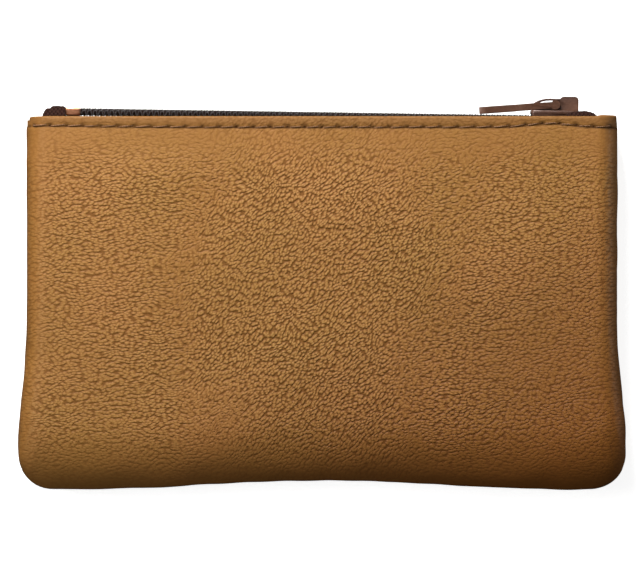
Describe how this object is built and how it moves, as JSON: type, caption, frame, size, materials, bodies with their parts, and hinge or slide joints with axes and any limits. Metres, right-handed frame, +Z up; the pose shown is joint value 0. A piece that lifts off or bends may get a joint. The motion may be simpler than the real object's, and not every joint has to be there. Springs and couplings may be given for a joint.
{
  "type": "zippered pouch",
  "caption": "Small flat leather pouch with a coil zip along its top edge, a slider with a long pull tab, folded topstitched hems and a turned seam.",
  "frame": {"origin": "on the surface the pouch lies on, under the middle of the leather", "axes": "+X along the zip towards its closed end, +Y towards the zip, +Z up through the pouch's thickness"},
  "size_m": [0.1282, 0.0829, 0.0131],
  "materials": {
    "leather": "soft grained camel leather, semi-matt",
    "sewing_thread": "twisted brown polyester thread",
    "zip_tape": "woven dark brown polyester",
    "nylon": "dark brown nylon monofilament",
    "copper": "copper plated, satin",
    "slider_lacquer": "brown lacquered zinc, satin",
    "spring_steel": "plated"
  },
  "bodies": {
    "pouch": {"front_panel": "leather", "back_panel": "leather", "seam_needle_thread": "sewing_thread", "seam_bobbin_thread": "sewing_thread", "front_topstitch_needle_thread": "sewing_thread", "front_topstitch_bobbin_thread": "sewing_thread", "back_topstitch_needle_thread": "sewing_thread", "back_topstitch_bobbin_thread": "sewing_thread", "front_zip_tape": "zip_tape", "back_zip_tape": "zip_tape", "front_coil": "nylon", "back_coil": "nylon", "front_coil_core_cord": "zip_tape", "back_coil_core_cord": "zip_tape", "front_coil_sewing_thread": "zip_tape", "back_coil_sewing_thread": "zip_tape", "bottom_stop": "copper", "front_top_stop": "copper", "back_top_stop": "copper"},
    "slider": {"slider_body": "slider_lacquer", "slider_cap": "slider_lacquer"},
    "pawl": {"lock_pawl": "spring_steel"},
    "pull": {"pull_tab": "slider_lacquer"}
  },
  "joints": [
    {"name": "slider_slide", "type": "slide", "parent": "pouch", "child": "slider", "axis": [-0.9999, 0.0157, 0], "range_m": [0, 0.0945]},
    {"name": "pawl_lift", "type": "slide", "parent": "slider", "child": "pawl", "axis": [0.0157, 0.9999, 0], "range_m": [0, 0.0005], "stiffness_N_per_m": 20},
    {"name": "pull_flip", "type": "hinge", "parent": "slider", "child": "pull", "pos_m": [0.04926, 0.04168, 0.0066], "axis": [0, 0, -1], "range_deg": [0, 168]}
  ]
}
